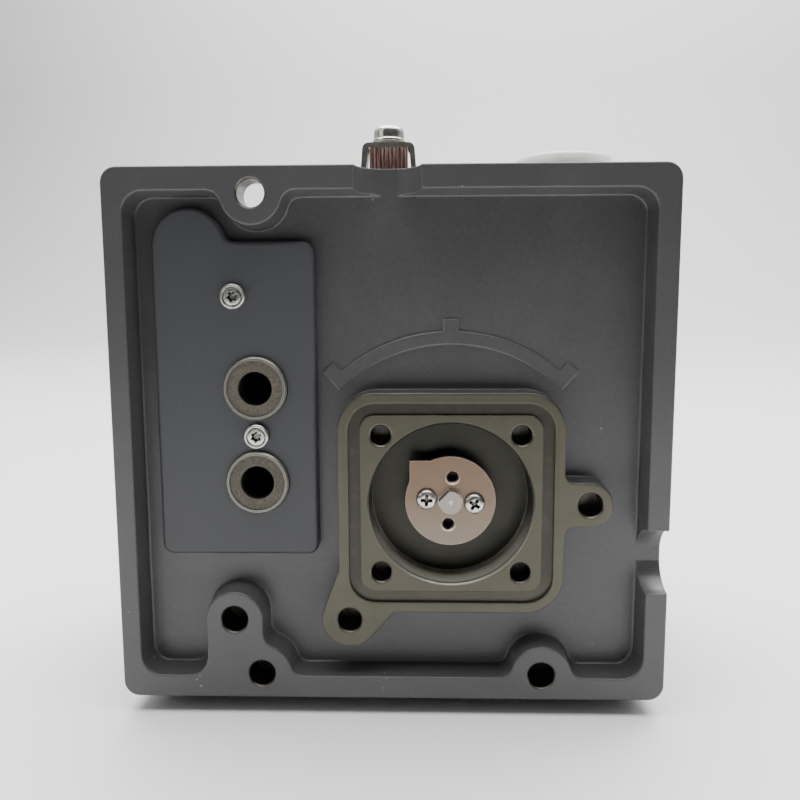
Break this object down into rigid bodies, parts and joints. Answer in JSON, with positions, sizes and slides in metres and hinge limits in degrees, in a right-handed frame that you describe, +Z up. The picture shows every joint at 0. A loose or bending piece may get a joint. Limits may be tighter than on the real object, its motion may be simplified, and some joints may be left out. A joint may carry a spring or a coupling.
{
  "type": "valve positioner",
  "caption": "Electro-pneumatic valve positioner in a cast housing, seen from its rear mounting flange, with a rotary feedback shaft, air ports, a display and a lift-off cover.",
  "frame": {"origin": "on the feedback shaft's axis, at the mounting flange's face", "axes": "-Y is the outward normal of the mounting flange at the rear, +Z is up, +X is to the right as seen from the rear"},
  "size_m": [0.1454, 0.083, 0.1523],
  "materials": {
    "casting": "satin, fine texture",
    "cover_paint": "satin, fine texture",
    "plate_plastic": "matt, fine texture",
    "disc_steel": "satin, warm",
    "shaft_steel": "bead-blasted",
    "screw_steel": "bright",
    "nickel": "nickel plated",
    "black_plastic": "matt",
    "bronze": "sintered",
    "rubber": "matt",
    "sleeve_metal": "turned",
    "seal_olive": "moulded",
    "manifold_metal": "machined",
    "converter_metal": "anodised",
    "white_plastic": "matt, cream",
    "copper_block": "dull",
    "board_green": "solder resist",
    "brass": "plain",
    "gear_plastic": "natural",
    "panel_grey": "matt",
    "key_blue": "matt",
    "display_glass": "liquid crystal",
    "pane_glass": "clear",
    "terminal_green": "matt",
    "zinc": "zinc plated"
  },
  "bodies": {
    "positioner": {"housing": "casting", "rear_cover_plate": "plate_plastic", "cover_plate_screws": "screw_steel", "port_sleeves": "sleeve_metal", "port_seals": "seal_olive", "rear_bush": "bronze", "front_bush": "bronze", "shaft_seal": "rubber", "angle_sensor": "black_plastic", "sensor_bracket": "zinc", "bracket_screws": "zinc", "sensor_nut": "nickel", "pneumatic_manifold": "manifold_metal", "manifold_gasket": "rubber", "manifold_screws": "zinc", "pressure_converter": "converter_metal", "booster_body": "manifold_metal", "booster_diaphragm": "rubber", "booster_cap": "converter_metal", "main_board": "board_green", "board_screws": "zinc", "panel_standoffs": "brass", "key_switches": "black_plastic", "terminal_block": "terminal_green", "terminal_screws": "nickel", "display_module": "display_glass", "display_panel": "panel_grey", "panel_screws": "zinc", "cover_gasket": "rubber", "earth_block": "copper_block", "blanking_plug": "nickel", "plug_washer": "rubber", "vent_silencer": "bronze"},
    "shaft": {"feedback_shaft": "shaft_steel", "retaining_rings": "zinc", "drive_gear": "gear_plastic", "driver_hub": "black_plastic", "pointer_disc": "disc_steel", "disc_screws": "screw_steel"},
    "sensor_rotor": {"sensor_shaft": "shaft_steel", "sensor_pinion": "gear_plastic"},
    "key_mode": {"key_mode": "key_blue"},
    "key_enter": {"key_enter": "key_blue"},
    "key_up": {"key_up": "key_blue"},
    "key_down": {"key_down": "key_blue"},
    "cover": {"front_cover": "cover_paint", "cover_screws": "nickel", "window_seal": "rubber", "window_pane": "pane_glass", "window_retainer": "black_plastic", "retainer_screws": "zinc"},
    "cap": {"conduit_cap": "white_plastic"},
    "clamp": {"earth_saddle": "nickel", "earth_washer": "nickel", "earth_screw": "nickel"}
  },
  "joints": [
    {"name": "shaft_turn", "type": "hinge", "parent": "positioner", "child": "shaft", "pos_m": [0, 0, 0], "axis": [0, -1, 0], "range_deg": [-105, 15]},
    {"name": "sensor_turn", "type": "hinge", "parent": "positioner", "child": "sensor_rotor", "pos_m": [0.024, 0.0345, -0.018], "axis": [0, -1, 0], "range_deg": [-31, 211]},
    {"name": "key_mode_press", "type": "slide", "parent": "positioner", "child": "key_mode", "axis": [0, -1, 0], "range_m": [0, 0.0012], "stiffness_N_per_m": 400},
    {"name": "key_enter_press", "type": "slide", "parent": "positioner", "child": "key_enter", "axis": [0, -1, 0], "range_m": [0, 0.0012], "stiffness_N_per_m": 400},
    {"name": "key_up_press", "type": "slide", "parent": "positioner", "child": "key_up", "axis": [0, -1, 0], "range_m": [0, 0.0012], "stiffness_N_per_m": 400},
    {"name": "key_down_press", "type": "slide", "parent": "positioner", "child": "key_down", "axis": [0, -1, 0], "range_m": [0, 0.0012], "stiffness_N_per_m": 400},
    {"name": "cover_off", "type": "slide", "parent": "positioner", "child": "cover", "axis": [0, 1, 0], "range_m": [0, 0.03]},
    {"name": "cap_off", "type": "slide", "parent": "positioner", "child": "cap", "axis": [0, 0, 1], "range_m": [0, 0.02]},
    {"name": "clamp_lift", "type": "slide", "parent": "positioner", "child": "clamp", "axis": [0, 0, 1], "range_m": [0, 0.0025]}
  ],
  "couplings": [
    {"joint": "sensor_turn", "follows": "shaft_turn", "ratio": -2}
  ]
}
